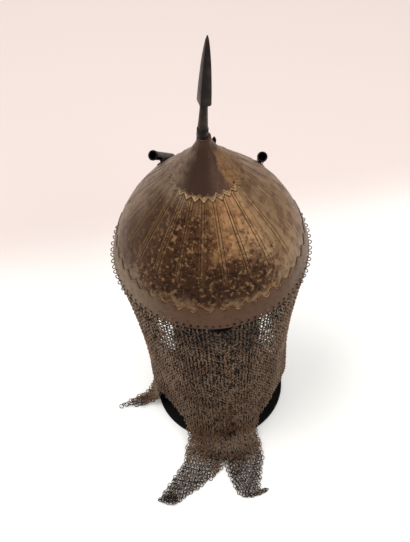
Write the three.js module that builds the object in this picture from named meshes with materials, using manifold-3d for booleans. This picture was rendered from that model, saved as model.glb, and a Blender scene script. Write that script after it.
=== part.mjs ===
// A pointed helmet with a spike, a sliding nose guard and a mail curtain, on a plain turned stand.
// Millimetres, +Z up. The origin is on the floor, under the middle of the stand.
// The back of the helmet faces -Y and the face opening faces +Y.
// Azimuths are in degrees from the back, growing towards +X. Bowl heights are above the rim.
import * as THREE from 'three';
import { mergeVertices } from 'three/addons/utils/BufferGeometryUtils.js';
import Module from 'manifold-3d';

// Driving dimensions
const GAP = 0.3;
const OVAL = 1.03;
const RIM_Z = 281;

const BOWL_WALL = 1.8;
const BOWL_FOOT = 9;
const BOWL_TOP = 126;
const BOWL_CURVE = [
  { h: 0, r: 100.6 },
  { h: 30, r: 93.2 },
  { h: 61, r: 76.8 },
  { h: 91, r: 52.4 },
  { h: 114, r: 31.8 },
  { h: 133, r: 15.8 },
  { h: 146, r: 8.4 },
  { h: 154, r: 4.9 },
  { h: 162, r: 3.8 },
];

const FILLETS = 22;
const FILLET_COLUMNS = 5;
const FILLET_HALF = 1.0;
const FILLET_FOOT_HALF = 1.9;
const FILLET_RELIEF = 0.5;
const FILLET_LOW = 47;
const FILLET_HIGH = 100;

const BAND_THICK = 1.3;
const BAND_HEIGHT = 24;
const SCALLOPS = 40;
const SCALLOP_RISE = 3;
const RIM_HOLES = 56;
const RIM_HOLE_RADIUS = 1.2;
const RIM_HOLE_HEIGHT = 3.2;

const ZIGZAGS = 26;
const ZIGZAG_RISE = 1.8;
const PLATE_THICK = 0.9;
const PLATE_LOW = 111.2;
const PLATE_HIGH = 124;
const CAP_THICK = 1.2;
const CAP_LOW = 115;
const CAP_TOP = 161;

const SPIKE_FOOT_H = 161.9;
const SPIKE_LEAN = 4.8;
const SPIKE_SIDE = -1.2;
const BLADE_TURN = -30;
const NECK = [
  { h: 0, r: 5.6 },
  { h: 9, r: 5.5 },
  { h: 10.2, r: 4.7 },
  { h: 34, r: 3.7 },
  { h: 42, r: 3.7 },
];
const BLADE = [
  { h: 38.4, r: 5.8 },
  { h: 41, r: 7.5 },
  { h: 57, r: 6.9 },
  { h: 81, r: 5.4 },
  { h: 102, r: 3.2 },
  { h: 110, r: 2.0 },
];
const BLADE_TIP = 114.8;

const PLUME_SIDES = 12;
const PLUME_RADIUS = 4.75;
const PLUME_BORE = 3.9;
const PLUME_LIP = 0.7;
const PLUME_FLOOR = 3;
const PLUME_POST = 2.4;
const PLUME_SEAT = 0.65;
const PLUME_PLATE = 7.5;
const PLUME_PLATE_THICK = 1.2;
const PLUME_PLATE_GAP = 0.6;
const PLUMES = [
  { name: 'plume_tube_left', mouth: [-53, 68, 70], foot: [-34, 93, 39] },
  { name: 'plume_tube_right', mouth: [60, 66, 58], foot: [60, 93, 22] },
];

const NASAL_X = 8.5;
const NASAL_Y = 109.4;
const NASAL_H = 10;
const NASAL_LEAN = 6;
const NASAL_THICK = 2.6;
const NASAL_HALF = 5;
const NASAL_SLACK = 0.4;
const NASAL_UPPER = { shoulder: 12, wide: 18, half: 8, tip: 38.8 };
const NASAL_BUD = { neck: 29, half: 1.9, wide: 34.5, wideHalf: 2.9 };
const NASAL_LOWER = { shoulder: -112, wide: -128, half: 11, tip: -152 };
const BRACKET = { width: 20, height: 14, inner: 99, outer: 113.6 };

const MAIL_THICK = 2;
const MAIL_TOP = RIM_Z - 0.6;
const MAIL_FLOOR = 2;
const MAIL_BEND = 25;
const MAIL_ROWS = 14;
const MAIL_EVEN_ROWS = 8;
const MAIL_EVEN_LENGTH = 225;
const MAIL_STEP = 9;
const MAIL_SIDE = 79.5;
const MAIL_FLARE = { from: 90, by: 21.5, power: 1.6 };
const MAIL_BACK = { low: 82, by: 21.5, power: 1.5 };
const MAIL_FLAT = 6;
const MAIL_FOLD = { count: 9, depth: 1.2 };
const MAIL_SAG = { az: 1.5, half: 9, depth: 6 };
const DAG_TURN = 25;
const DAG_SPLIT = 0;
const DAG_HEADINGS = { left: -46, right: -6 };
const DAG_CURL = { from: 36, to: 56, turn: 60 };

// The hem: its height over the floor, or the length of mail lying on the floor below it.
const HEM = [
  { az: -118, z: 70 },
  { az: -104, z: 26 },
  { az: -91, z: 14 },
  { az: -85, lie: -10 },
  { az: -80, lie: 31 },
  { az: -76, lie: -13 },
  { az: -68, z: 50 },
  { az: -46, z: 42 },
  { az: -35, z: 33 },
  { az: -28, lie: -14 },
  { az: -22, lie: 44 },
  { az: -18, lie: 76 },
  { az: -11, lie: 76 },
  { az: -5, lie: 48 },
  { az: 0, lie: 5 },
  { az: 3, lie: 24 },
  { az: 8, lie: 52 },
  { az: 13, lie: 62 },
  { az: 18, lie: 52 },
  { az: 23, lie: 10 },
  { az: 28, lie: -18 },
  { az: 36, z: 27 },
  { az: 53, z: 50 },
  { az: 72, z: 42 },
  { az: 92, z: 40 },
  { az: 104, z: 48 },
  { az: 118, z: 80 },
];

const STAND_SEGMENTS = 26;
const HEAD_RADIUS = 62;
const STAND = [
  { r: 76.5, z: 0 },
  { r: 77.5, z: 1 },
  { r: 77.5, z: 4 },
  { r: 76.5, z: 5 },
  { r: 56, z: 5.8 },
  { r: 51, z: 12 },
  { r: 50, z: 140 },
  { r: 52, z: 220 },
];

// Materials
function look(color, roughness, metalness) {
  return new THREE.MeshStandardMaterial({ color, roughness, metalness });
}

const RUSTED_IRON = look(0x5b4733, 0.6, 0.6);
const BAND_IRON = look(0x6a5a4a, 0.62, 0.55);
const CROWN_IRON = look(0x45352c, 0.5, 0.65);
const DARK_IRON = look(0x2c2624, 0.42, 0.75);
const MAIL_IRON = look(0x4a3d33, 0.55, 0.7);
const BLACK_WOOD = look(0x121212, 0.6, 0.0);

// Geometry helpers
const wasm = await Module();
wasm.setup();

const { clamp, degToRad, smoothstep, lerp } = THREE.MathUtils;

// A smooth curve through the rows of a table, read at one column and answered from another.
function through(rows, from, to, at) {
  const last = rows.length - 1;
  const here = clamp(at, rows[0][from], rows[last][from]);
  let i = 0;
  while (i < last - 1 && here > rows[i + 1][from]) i += 1;
  const slope = (k) => {
    const before = rows[Math.max(k - 1, 0)];
    const after = rows[Math.min(k + 1, last)];
    return (after[to] - before[to]) / (after[from] - before[from]);
  };
  const span = rows[i + 1][from] - rows[i][from];
  const t = (here - rows[i][from]) / span;
  const rise = rows[i + 1][to] - rows[i][to];
  const entry = slope(i) * span - rise;
  const exit = rise - slope(i + 1) * span;
  return rows[i][to] + rise * t + t * (1 - t) * (entry * (1 - t) + exit * t);
}

// A profile of [radius, height] pairs turned about the Z axis. Column 0 faces the back.
function revolve(profile, segments) {
  const points = profile.map(([r, z]) => new THREE.Vector2(r, z));
  return new THREE.LatheGeometry(points, segments).rotateX(Math.PI / 2);
}

// Each vertex of a geometry moved by a function that changes it in place.
function warp(geometry, move) {
  const position = geometry.attributes.position;
  const vertex = new THREE.Vector3();
  for (let i = 0; i < position.count; i += 1) {
    move(vertex.fromBufferAttribute(position, i));
    position.setXYZ(i, vertex.x, vertex.y, vertex.z);
  }
  return geometry;
}

function ovalled(geometry) {
  return geometry.scale(1, OVAL, 1);
}

function raised(geometry, height) {
  return geometry.translate(0, 0, height);
}

// A closed solid from a geometry, with seams merged and collapsed triangles dropped.
function solid(geometry) {
  geometry.deleteAttribute('normal');
  geometry.deleteAttribute('uv');
  const merged = mergeVertices(geometry, 1e-3);
  const index = merged.index.array;
  const kept = [];
  for (let i = 0; i < index.length; i += 3) {
    const [a, b, c] = index.subarray(i, i + 3);
    if (a !== b && b !== c && c !== a) kept.push(a, b, c);
  }
  return new wasm.Manifold(new wasm.Mesh({
    numProp: 3,
    vertProperties: new Float32Array(merged.attributes.position.array),
    triVerts: new Uint32Array(kept),
  }));
}

function piece(name, body, material) {
  const { vertProperties, triVerts } = body.getMesh();
  const geometry = new THREE.BufferGeometry();
  geometry.setAttribute('position', new THREE.BufferAttribute(vertProperties, 3));
  geometry.setIndex(new THREE.BufferAttribute(triVerts, 1));
  geometry.computeVertexNormals();
  const mesh = new THREE.Mesh(geometry, material);
  mesh.name = name;
  return mesh;
}

// A geometry that stands on the XY plane, laid along a direction from a point.
function along(geometry, from, direction) {
  const turn = new THREE.Quaternion().setFromUnitVectors(new THREE.Vector3(0, 0, 1), direction);
  const place = new THREE.Matrix4().makeRotationFromQuaternion(turn).setPosition(from);
  return geometry.applyMatrix4(place);
}

function azimuthOf(vertex) {
  return Math.atan2(vertex.x, -vertex.y);
}

function polar(azimuth, radius, z) {
  return new THREE.Vector3(radius * Math.sin(azimuth), -radius * Math.cos(azimuth), z);
}

// Bowl
function bowlRadius(h) {
  return through(BOWL_CURVE, 'h', 'r', h);
}

function bowlPoint(azimuth, h) {
  const point = polar(azimuth, bowlRadius(h), RIM_Z + h);
  point.y *= OVAL;
  return point;
}

function bowlNormal(azimuth, h) {
  const step = 0.01;
  const up = bowlPoint(azimuth, h + step).sub(bowlPoint(azimuth, h - step));
  const round = bowlPoint(azimuth + step, h).sub(bowlPoint(azimuth - step, h));
  return round.cross(up).normalize();
}

// The turned wall is drawn together in groups of columns, so that each group stands up as a fillet.
function raiseFillets(vertex) {
  const h = vertex.z;
  const radius = Math.hypot(vertex.x, vertex.y);
  const pitch = (2 * Math.PI) / FILLETS;
  const column = Math.round((azimuthOf(vertex) / pitch) * FILLET_COLUMNS);
  const fillet = Math.floor(column / FILLET_COLUMNS);
  const between = (-pitch * radius) / 2;
  const places = [between, -FILLET_FOOT_HALF, -FILLET_HALF, FILLET_HALF, FILLET_FOOT_HALF];
  const across = places[column - fillet * FILLET_COLUMNS];
  const outside = radius > bowlRadius(h) - BOWL_WALL / 2;
  const onFillet = Math.abs(across) <= FILLET_HALF && h >= FILLET_LOW && h <= FILLET_HIGH;
  const relief = outside && onFillet ? FILLET_RELIEF : 0;
  vertex.copy(polar((fillet + 0.5) * pitch + across / radius, radius + relief, h));
}

function makeBowl() {
  const outer = [BOWL_FOOT, 28, FILLET_LOW, 62, 80, FILLET_HIGH, 108, 117, BOWL_TOP];
  const inner = [BOWL_TOP, 92, 60, 32, BOWL_FOOT];
  const profile = outer.map((h) => [bowlRadius(h), h]);
  for (const h of inner) profile.push([bowlRadius(h) - BOWL_WALL, h]);
  profile.push(profile[0]);
  const wall = warp(revolve(profile, FILLETS * FILLET_COLUMNS), raiseFillets);
  return piece('bowl', solid(raised(ovalled(wall), RIM_Z)), RUSTED_IRON);
}

// Rim band
function bandRadius(h) {
  return bowlRadius(h) + GAP + BAND_THICK;
}

function scallop(vertex) {
  if (vertex.z < BAND_HEIGHT - 1) return;
  const tooth = Math.cos(azimuthOf(vertex) * SCALLOPS);
  const height = vertex.z + SCALLOP_RISE * tooth;
  const shift = bowlRadius(height) - bowlRadius(vertex.z);
  const radius = Math.hypot(vertex.x, vertex.y) + shift;
  vertex.copy(polar(azimuthOf(vertex), radius, height));
}

function makeBand() {
  const heights = [0, BAND_HEIGHT / 2, BAND_HEIGHT];
  const profile = heights.map((h) => [bandRadius(h), h]);
  for (const h of [...heights].reverse()) profile.push([bandRadius(h) - BAND_THICK, h]);
  profile.push(profile[0]);
  const strip = warp(revolve(profile, SCALLOPS * 2), scallop);
  let body = solid(raised(ovalled(strip), RIM_Z));
  for (let i = 0; i < RIM_HOLES; i += 1) {
    const azimuth = ((i + 0.5) / RIM_HOLES) * 2 * Math.PI;
    const normal = bowlNormal(azimuth, RIM_HOLE_HEIGHT);
    const length = BAND_THICK * 4;
    const drill = new THREE.CylinderGeometry(RIM_HOLE_RADIUS, RIM_HOLE_RADIUS, length, 4);
    drill.rotateX(Math.PI / 2);
    body = body.subtract(solid(along(drill, bowlPoint(azimuth, RIM_HOLE_HEIGHT), normal)));
  }
  return piece('rim_band', body, BAND_IRON);
}

// Crown: a zigzag collar, and a cone with a zigzag edge over it
function zigzagged(low) {
  return (vertex) => {
    if (vertex.z > low + 0.5) return;
    const height = vertex.z + ZIGZAG_RISE * Math.cos(azimuthOf(vertex) * ZIGZAGS);
    const shift = bowlRadius(height) - bowlRadius(vertex.z);
    const radius = Math.hypot(vertex.x, vertex.y) + shift;
    vertex.copy(polar(azimuthOf(vertex), radius, height));
  };
}

function makeCrownPlate() {
  const heights = [PLATE_LOW, (PLATE_LOW + PLATE_HIGH) / 2, PLATE_HIGH];
  const profile = heights.map((h) => [bowlRadius(h) + GAP + PLATE_THICK, h]);
  for (const h of [...heights].reverse()) profile.push([bowlRadius(h) + GAP, h]);
  profile.push(profile[0]);
  const collar = warp(revolve(profile, ZIGZAGS * 2), zigzagged(PLATE_LOW));
  return piece('crown_plate', solid(raised(ovalled(collar), RIM_Z)), CROWN_IRON);
}

function makeCrownCap() {
  const seat = GAP * 2 + PLATE_THICK;
  const outer = [CAP_LOW, 124, 133, 143, 152, CAP_TOP];
  const inner = [148, 138, 128, CAP_LOW];
  const profile = outer.map((h) => [bowlRadius(h) + seat + CAP_THICK, h]);
  profile.push([0, CAP_TOP], [0, inner[0]]);
  for (const h of inner) profile.push([bowlRadius(h) + seat, h]);
  profile.push(profile[0]);
  const cone = warp(revolve(profile, ZIGZAGS * 2), zigzagged(CAP_LOW));
  return piece('crown_cap', solid(raised(ovalled(cone), RIM_Z)), CROWN_IRON);
}

// Spike: round foot and neck, with a four-sided blade
function makeSpike() {
  const neck = NECK.map(({ h, r }) => [r, h]);
  const round = solid(revolve([[0, NECK[0].h], ...neck, [0, NECK.at(-1).h]], 12));
  const edges = BLADE.map(({ h, r }) => [r, h]);
  const blade = revolve([[0, BLADE[0].h], ...edges, [0, BLADE_TIP]], 4);
  const body = round.add(solid(blade.rotateZ(degToRad(BLADE_TURN))));
  const spike = piece('spike', body, DARK_IRON);
  spike.position.set(SPIKE_SIDE, 0, RIM_Z + SPIKE_FOOT_H);
  spike.rotation.y = degToRad(SPIKE_LEAN);
  return spike;
}

// Plume tube: open at the mouth, on a post with a round plate against the bowl
function makePlume({ name, mouth, foot }) {
  const low = new THREE.Vector3(foot[0], foot[1], RIM_Z + foot[2]);
  const high = new THREE.Vector3(mouth[0], mouth[1], RIM_Z + mouth[2]);
  const axis = high.clone().sub(low);
  const length = axis.length();
  axis.normalize();
  const profile = [
    [0, 0],
    [PLUME_RADIUS, 0],
    [PLUME_RADIUS, length - 3],
    [PLUME_RADIUS + PLUME_LIP, length - 2],
    [PLUME_RADIUS + PLUME_LIP, length],
    [PLUME_BORE, length],
    [PLUME_BORE, PLUME_FLOOR],
    [0, PLUME_FLOOR],
  ];
  const tube = solid(along(revolve(profile, PLUME_SIDES), low, axis));
  const seat = seatBelow(low.clone().lerp(high, PLUME_SEAT));
  const normal = bowlNormal(seat.azimuth, seat.h);
  const base = bowlPoint(seat.azimuth, seat.h).addScaledVector(normal, PLUME_PLATE_GAP);
  const plate = new THREE.CylinderGeometry(PLUME_PLATE, PLUME_PLATE, PLUME_PLATE_THICK, PLUME_SIDES);
  plate.rotateX(Math.PI / 2).translate(0, 0, PLUME_PLATE_THICK / 2);
  const reach = seat.distance - PLUME_PLATE_GAP;
  const post = new THREE.CylinderGeometry(PLUME_POST, PLUME_POST, reach, 8);
  post.rotateX(Math.PI / 2).translate(0, 0, reach / 2);
  const bore = revolve([[0, PLUME_FLOOR], [PLUME_BORE, PLUME_FLOOR], [PLUME_BORE, length], [0, length]], PLUME_SIDES);
  const body = tube
    .add(solid(along(plate, base, normal)))
    .add(solid(along(post, base, normal)))
    .subtract(solid(along(bore, low, axis)));
  return piece(name, body, DARK_IRON);
}

// The place on the bowl that a point stands straight over, found by stepping down the slope.
function seatBelow(point) {
  let azimuth = Math.atan2(point.x, -point.y / OVAL);
  let h = point.z - RIM_Z;
  let away = new THREE.Vector3();
  for (let i = 0; i < 40; i += 1) {
    const step = 0.01;
    away = point.clone().sub(bowlPoint(azimuth, h));
    const up = bowlPoint(azimuth, h + step).sub(bowlPoint(azimuth, h)).divideScalar(step);
    const round = bowlPoint(azimuth + step, h).sub(bowlPoint(azimuth, h)).divideScalar(step);
    h += away.dot(up) / up.lengthSq();
    azimuth += away.dot(round) / round.lengthSq();
  }
  return { azimuth, h, distance: away.length() };
}

// Nose guard and the loop that it slides in, both leaning to one side
function nasalOutline() {
  const { shoulder, wide, half, tip } = NASAL_UPPER;
  const low = NASAL_LOWER;
  const side = [
    [NASAL_HALF, low.shoulder],
    [NASAL_HALF, shoulder],
    [half, wide],
    [half / 2, (wide + NASAL_BUD.neck) / 2 + 1],
    [NASAL_BUD.half, NASAL_BUD.neck],
    [NASAL_BUD.wideHalf, NASAL_BUD.wide],
  ];
  const foot = [
    [low.half, low.wide],
    [low.half / 2, (low.wide + low.tip) / 2 - 3],
  ];
  const shape = new THREE.Shape();
  shape.moveTo(0, low.tip);
  for (const [x, y] of [...foot].reverse()) shape.lineTo(x, y);
  for (const [x, y] of side) shape.lineTo(x, y);
  shape.lineTo(0, tip);
  for (const [x, y] of [...side].reverse()) shape.lineTo(-x, y);
  for (const [x, y] of foot) shape.lineTo(-x, y);
  return shape;
}

function leaned(geometry) {
  return geometry
    .rotateY(degToRad(NASAL_LEAN))
    .translate(NASAL_X, NASAL_Y, RIM_Z + NASAL_H);
}

function makeNasalBar() {
  const bar = new THREE.ExtrudeGeometry(nasalOutline(), { depth: NASAL_THICK, bevelEnabled: false });
  bar.translate(0, 0, -NASAL_THICK / 2).rotateX(Math.PI / 2);
  return piece('nasal_bar', solid(leaned(bar)), DARK_IRON);
}

function makeNasalBracket() {
  const { width, height, inner, outer } = BRACKET;
  const block = new THREE.BoxGeometry(width, outer - inner, height);
  block.translate(0, (inner + outer) / 2 - NASAL_Y, 0);
  const slotWidth = 2 * (NASAL_HALF + NASAL_SLACK);
  const slotDepth = NASAL_THICK + 2 * NASAL_SLACK;
  const slot = new THREE.BoxGeometry(slotWidth, slotDepth, height * 2);
  const heights = [-10, 0, BAND_HEIGHT / 2, BAND_HEIGHT - SCALLOP_RISE, BAND_HEIGHT + SCALLOP_RISE];
  const hug = heights.map((h) => [bandRadius(h) + GAP, h]);
  const band = revolve([[0, heights[0]], ...hug, [0, heights.at(-1)]], SCALLOPS * 2);
  const body = solid(leaned(block))
    .subtract(solid(leaned(slot)))
    .subtract(solid(raised(ovalled(band), RIM_Z)));
  return piece('nasal_bracket', body, DARK_IRON);
}

// Mail: a sheet that hangs from the rim, turns on the floor and runs out in points
function mailRadius(azimuth, z) {
  const rise = clamp((z - MAIL_FLARE.from) / (RIM_Z - MAIL_FLARE.from), 0, 1);
  const side = MAIL_SIDE + MAIL_FLARE.by * rise ** MAIL_FLARE.power;
  const up = clamp(z / RIM_Z, 0, 1);
  const back = MAIL_BACK.low + MAIL_BACK.by * up ** MAIL_BACK.power;
  const sin = Math.sin(azimuth);
  const cos = Math.cos(azimuth);
  const flat = MAIL_FLAT * (1 - up) * Math.sin(2 * azimuth) ** 2;
  const fold = MAIL_FOLD.depth * (1 - up) * Math.sin(MAIL_FOLD.count * azimuth);
  return side * sin * sin + back * cos * cos - flat + fold;
}

function mailTop(azimuth) {
  const off = (azimuth - degToRad(MAIL_SAG.az)) / degToRad(MAIL_SAG.half);
  return MAIL_TOP - MAIL_SAG.depth * (1 - smoothstep(Math.abs(off), 0, 1));
}

const BEND_Z = MAIL_FLOOR + MAIL_BEND;
const BEND_LENGTH = (MAIL_BEND * Math.PI) / 2;

function mailHeading(azimuth, run) {
  const degrees = THREE.MathUtils.radToDeg(azimuth);
  if (Math.abs(degrees) > 45) return azimuth;
  const curl = DAG_CURL.turn * smoothstep(run, DAG_CURL.from, DAG_CURL.to);
  const side = degrees < DAG_SPLIT ? DAG_HEADINGS.left : DAG_HEADINGS.right + curl;
  return lerp(azimuth, degToRad(side), smoothstep(run, 0, DAG_TURN));
}

// The point at a length down the sheet, measured from its upper edge.
function mailPoint(azimuth, length) {
  const top = mailTop(azimuth);
  const hang = top - BEND_Z;
  if (length <= hang) {
    const z = top - length;
    return polar(azimuth, mailRadius(azimuth, z), z);
  }
  const foot = mailRadius(azimuth, BEND_Z);
  const turn = Math.min((length - hang) / MAIL_BEND, Math.PI / 2);
  const out = foot + MAIL_BEND * (1 - Math.cos(turn));
  const point = polar(azimuth, out, BEND_Z - MAIL_BEND * Math.sin(turn));
  const lying = length - hang - BEND_LENGTH;
  const steps = 12;
  for (let i = 0; i < steps && lying > 0; i += 1) {
    const heading = mailHeading(azimuth, (lying * (i + 0.5)) / steps);
    point.add(polar(heading, lying / steps, 0));
  }
  return point;
}

function hemLength(azimuth, row) {
  if (row.lie !== undefined) return mailTop(azimuth) - BEND_Z + BEND_LENGTH + row.lie;
  return mailTop(azimuth) - row.z;
}

// The columns of the sheet: one at each row of the hem table, and more where they lie far apart.
function mailColumns() {
  const columns = [];
  HEM.forEach((row, i) => {
    const azimuth = degToRad(row.az);
    const length = hemLength(azimuth, row);
    const before = columns.at(-1);
    const parts = i === 0 ? 1 : Math.ceil((row.az - HEM[i - 1].az) / MAIL_STEP);
    for (let k = 1; k <= parts; k += 1) {
      const t = k / parts;
      columns.push({
        azimuth: before ? lerp(before.azimuth, azimuth, t) : azimuth,
        length: before ? lerp(before.length, length, t) : length,
      });
    }
  });
  return columns;
}

// The upper rows lie level all round, and the lower rows spread from there to the hem.
function rowLength(length, row) {
  const even = Math.min(MAIL_EVEN_LENGTH, length * 0.9);
  if (row <= MAIL_EVEN_ROWS) return (even * row) / MAIL_EVEN_ROWS;
  return lerp(even, length, (row - MAIL_EVEN_ROWS) / (MAIL_ROWS - MAIL_EVEN_ROWS));
}

function makeMail() {
  const columns = mailColumns();
  const last = columns.length - 1;
  const sheet = new THREE.BoxGeometry(last, MAIL_ROWS, MAIL_THICK, last, MAIL_ROWS, 1);
  warp(sheet, (vertex) => {
    const { azimuth, length } = columns[Math.round(vertex.x + last / 2)];
    const down = rowLength(length, Math.round(MAIL_ROWS / 2 - vertex.y));
    const step = 0.01;
    const along = mailPoint(azimuth, down + step).sub(mailPoint(azimuth, down - step));
    const round = mailPoint(azimuth + step, down).sub(mailPoint(azimuth - step, down));
    const normal = along.cross(round).normalize();
    vertex.copy(mailPoint(azimuth, down).addScaledVector(normal, vertex.z));
  });
  return piece('mail', solid(sheet), MAIL_IRON);
}

// Stand: disc base, column and a rounded top that the bowl sits on
function headCentre() {
  let centre = 0;
  const clear = (h) => Math.hypot(bowlRadius(h) - BOWL_WALL, h - centre) - HEAD_RADIUS;
  const heights = Array.from({ length: 100 }, (_, i) => i + BOWL_FOOT);
  while (Math.min(...heights.map(clear)) > GAP) centre += 0.05;
  return centre - 0.05;
}

function makeStand() {
  const centre = RIM_Z + headCentre();
  const profile = [[0, STAND[0].z], ...STAND.map(({ r, z }) => [r, z])];
  for (const angle of [-40, -20, 0, 20, 35, 50, 65, 80]) {
    const turn = degToRad(angle);
    profile.push([HEAD_RADIUS * Math.cos(turn), centre + HEAD_RADIUS * Math.sin(turn)]);
  }
  profile.push([0, centre + HEAD_RADIUS]);
  return piece('stand', solid(revolve(profile, STAND_SEGMENTS)), BLACK_WOOD);
}

const helmet = new THREE.Group();
helmet.add(makeBowl(), makeBand(), makeCrownPlate(), makeCrownCap(), makeSpike());
for (const plume of PLUMES) helmet.add(makePlume(plume));
helmet.add(makeNasalBracket(), makeNasalBar(), makeMail(), makeStand());

export default helmet;
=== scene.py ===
"""A pointed helmet with a spike, a sliding nose guard and a mail curtain, on a plain turned stand.

The tables are in millimetres. Azimuths are in degrees from the back of the helmet, growing
towards +X, and bowl heights are above the rim.
"""

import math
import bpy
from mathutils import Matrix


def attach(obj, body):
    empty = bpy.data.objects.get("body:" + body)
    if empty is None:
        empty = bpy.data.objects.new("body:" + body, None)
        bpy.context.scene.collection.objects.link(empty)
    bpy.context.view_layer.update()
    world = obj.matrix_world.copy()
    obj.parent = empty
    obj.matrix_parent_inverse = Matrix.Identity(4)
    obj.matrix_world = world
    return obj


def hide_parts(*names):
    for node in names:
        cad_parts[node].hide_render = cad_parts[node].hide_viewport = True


bl_info = {
    "name": "Spiked Helmet With Mail",
    "version": (1, 0, 0),
    "blender": (4, 5, 0),
    "location": "View3D > Sidebar > Helmet",
    "description": "Builds a pointed iron helmet with a mail curtain on its stand",
    "category": "Add Mesh",
}

import bmesh
import bpy
import numpy as np
from mathutils import Matrix, Vector, noise

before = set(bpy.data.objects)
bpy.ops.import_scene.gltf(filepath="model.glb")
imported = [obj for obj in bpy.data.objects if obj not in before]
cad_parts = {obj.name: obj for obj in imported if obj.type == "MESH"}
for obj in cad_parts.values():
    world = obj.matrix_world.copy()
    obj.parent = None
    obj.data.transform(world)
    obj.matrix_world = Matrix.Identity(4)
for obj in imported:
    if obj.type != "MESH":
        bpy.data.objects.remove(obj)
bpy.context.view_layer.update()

MM = 0.001
SEED = 7
SLOPE_STEP = 0.01

# Helmet sizes
OVAL = 1.03
RIM_Z = 281.0
GAP = 0.3

BOWL_WALL = 1.8
BOWL_FOOT = 9.0
BOWL_TOP = 126.0
BOWL_CURVE = (
    (0, 100.6), (30, 93.2), (61, 76.8), (91, 52.4), (114, 31.8), (133, 15.8), (146, 8.4), (154, 4.9),
    (162, 3.8),
)
BOWL_ROWS = 40
BOWL_INNER_ROWS = 5
DENT_WIDE = 22.0
DENT_SMALL = 5.0
DENT_SMALL_SHARE = 0.3
DENTS_BEGIN = (28.0, 34.0)
DENTS_END = (103.0, 109.0)

FILLETS = 22
FILLET_CROWN = 0.45
GROOVE_STEPS = (-0.55, -0.25, 0.0, 0.25, 0.55)
GROOVE_WIDTH = 0.3
PLAIN_COLUMNS = 5
FILLET_COLUMNS = 2 * (len(GROOVE_STEPS) + PLAIN_COLUMNS + 2)
FILLET_LOW = 46.0
FILLET_HIGH = 109.0
FILLET_HALF_LOW = 2.0
FILLET_HALF_HIGH = 1.2
FILLET_NARROWING = (FILLET_HALF_HIGH - FILLET_HALF_LOW) / (FILLET_HIGH - FILLET_LOW)
FILLET_BEGIN = (FILLET_LOW - 2, FILLET_LOW + 2)
FILLET_END = (107.0, 109.5)

BAND_THICK = 1.3
BAND_TAPER = 0.65
BAND_ROWS = (0.0, 1.0, 2.1, 4.3, 5.4, 11.0, 17.0, 22.0, 24.0)
BAND_HOLE_ROW = 2
BAND_HOLE_COLUMNS = 4
BAND_HOLE_COLUMN = 1
SCALLOPS = 40
SCALLOP_RISE = 3.0
SCALLOP_FROM = 12.0

ZIGZAGS = 26
ZIGZAG_COLUMNS = 8
ZIGZAG_RISE = 1.8
ZIGZAG_FADE = 4.0
ON_AXIS = 1.0
PLATE_THICK = 0.9
PLATE_LOW = 111.2
PLATE_ROWS = (PLATE_LOW, PLATE_LOW + 0.4, 112.8, 114.4, 116.5, 120.0, 124.0)
CAP_THICK = 1.2
CAP_LOW = 115.0
CAP_TOP = 161.0
CAP_EDGE = 0.6
CAP_ROWS = (CAP_LOW, CAP_LOW + 0.4, 116.6, 118.6)
CAP_CONE_LOW = 121.0
CAP_CONE_ROWS = 16
CAP_HOLLOW = (148.0, 143.0, 138.0, 133.0, 128.0, 122.0, CAP_LOW)
CROWN_PITS = ((52, 116.5, 1.5), (73, 111.5, 0.9), (54, 111.0, 0.9))
CROWN_PIT_OUT = 1.5

ROUND_STEPS = 32
EDGE_BEVEL = 0.3
SPIKE_FOOT_H = 161.9
SPIKE_LEAN = 4.8
SPIKE_SIDE = -1.2
NECK = (
    (-0.5, 5.2), (0.3, 5.6), (4.5, 5.5), (8.4, 5.5), (9.0, 5.2), (9.4, 4.6), (10.2, 4.5), (10.8, 4.8),
    (14, 4.6), (24, 4.1), (34, 3.7), (42, 3.7),
)
BLADE_TURN = -30.0
BLADE = (
    (38.4, 5.8), (39.4, 6.8), (41, 7.5), (57, 6.9), (69, 6.2), (81, 5.4), (92, 4.4), (102, 3.2), (110, 2.0),
    (113.2, 1.2), (114.6, 0.5),
)

PLUME_RADIUS = 4.75
PLUME_BORE = 3.9
PLUME_FOOT = 4.0
PLUME_FOOT_BORE = 3.3
PLUME_LIP = 0.7
PLUME_FLOOR = 3.0
PLUME_POST = 2.4
PLUME_POST_STEPS = 20
PLUME_SEAT = 0.65
SEAT_ROUNDS = 40
PLUME_PLATE = 7.5
PLUME_PLATE_THICK = 1.2
PLUME_PLATE_GAP = 0.6
PLUMES = {
    "plume_tube_left": ((-53, 68, 70), (-34, 93, 39)),
    "plume_tube_right": ((60, 66, 58), (60, 93, 22)),
}

NASAL_CENTRE = (8.5, 109.4, RIM_Z + 10.0)
NASAL_LEAN = 6.0
NASAL_THICK = 2.6
NASAL_ROUND = 3.0
NASAL_EDGE = 0.5
NASAL_SHARP = 1.0
NASAL_SIDE = ((5.5, -143), (11, -128), (5, -112), (5, 12), (8, 18), (4, 24.5), (1.9, 29), (2.9, 34.5))
NASAL_TIPS = (-152, 38.8)

# Mail sizes: the sheet
MAIL_TOP = RIM_Z - 0.6
MAIL_FLOOR = 2.0
MAIL_BEND = 25.0
BEND_Z = MAIL_FLOOR + MAIL_BEND
BEND_LENGTH = MAIL_BEND * math.pi / 2
HANG = MAIL_TOP - BEND_Z
LAID = HANG + BEND_LENGTH
MAIL_SPAN = 118.0
MAIL_SIDE = 79.5
MAIL_FLARE_FROM = 90.0
MAIL_FLARE = 21.5
MAIL_FLARE_POWER = 1.6
MAIL_BACK = 82.0
MAIL_BACK_FLARE = 21.5
MAIL_BACK_POWER = 1.5
MAIL_FLAT = 6.0
MAIL_FOLDS = 9
MAIL_FOLD_DEPTH = 1.2
MAIL_SAG = 10.0
MAIL_SAG_AT = 1.5
MAIL_SAG_HALF = 10.0
MAIL_LIFT = 0.5

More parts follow.
